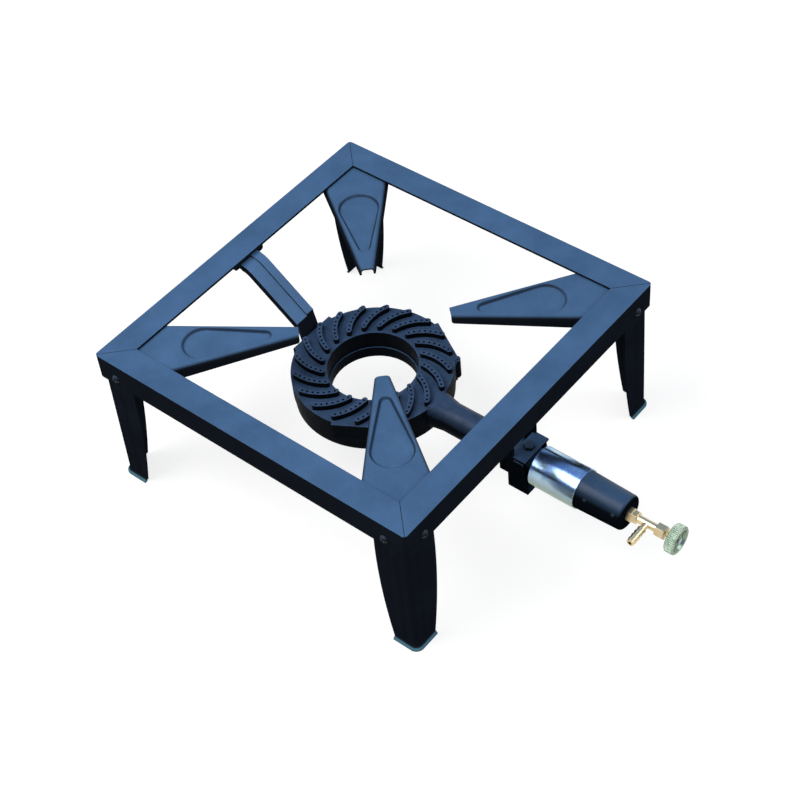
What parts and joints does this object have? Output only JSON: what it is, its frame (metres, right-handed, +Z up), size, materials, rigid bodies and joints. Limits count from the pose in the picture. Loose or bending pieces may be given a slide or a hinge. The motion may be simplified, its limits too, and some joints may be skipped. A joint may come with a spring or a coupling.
{
  "type": "stock pot range",
  "caption": "Low square stock pot range: angle-iron frame on four pressed legs, corner pan supports, cast ring burner with swirled port ridges, air mixer and needle valve.",
  "frame": {"origin": "on the floor, under the middle of the whole range measured from the rear foot lips to the knob's face", "axes": "+Z up; +X to the right and +Y to the back, seen from the valve's side; the neck and valve point along -Y"},
  "size_m": [0.4058, 0.57, 0.18],
  "materials": {
    "painted_iron": "satin",
    "black_iron": "satin",
    "black_bolts": "satin",
    "cast_iron": "matte",
    "zinc_screws": "satin",
    "chrome_sheet": "polished",
    "brass": "satin",
    "white_packing": "matte",
    "knob_metal": "satin"
  },
  "bodies": {
    "stand": {"rail_front": "painted_iron", "rail_right": "painted_iron", "rail_back": "painted_iron", "rail_left": "painted_iron", "leg_front_left": "painted_iron", "leg_front_right": "painted_iron", "leg_back_right": "painted_iron", "leg_back_left": "painted_iron", "pan_support_front_left": "painted_iron", "pan_support_front_right": "painted_iron", "pan_support_back_right": "painted_iron", "pan_support_back_left": "painted_iron", "leg_bolts": "black_bolts", "leg_nuts": "black_bolts", "burner_body": "cast_iron", "burner_base": "cast_iron", "base_screws": "zinc_screws", "neck_stirrup": "black_iron", "stirrup_bolt": "black_bolts", "support_strap": "painted_iron", "strap_bolt": "black_bolts", "mixer_tube": "black_iron", "tube_screws": "black_bolts", "gas_jet": "brass", "jam_nut": "brass", "valve_body": "brass", "packing_ring": "white_packing", "packing_nut": "brass"},
    "shutter": {"air_shutter": "chrome_sheet"},
    "spindle": {"valve_spindle": "brass"},
    "knob": {"knob": "knob_metal", "knob_screw": "zinc_screws"}
  },
  "joints": [
    {"name": "shutter_turn", "type": "hinge", "parent": "stand", "child": "shutter", "pos_m": [0, -0.14558, 0.0912], "axis": [0, -1, 0], "range_deg": [0, 40]},
    {"name": "spindle_travel", "type": "slide", "parent": "stand", "child": "spindle", "axis": [0, -1, 0], "range_m": [0, 0.003]},
    {"name": "knob_turn", "type": "hinge", "parent": "spindle", "child": "knob", "pos_m": [0, -0.27458, 0.0912], "axis": [0, -1, 0], "range_deg": [0, 1080]}
  ],
  "couplings": [
    {"joint": "spindle_travel", "follows": "knob_turn", "m_per_rad": 0.00015915}
  ]
}
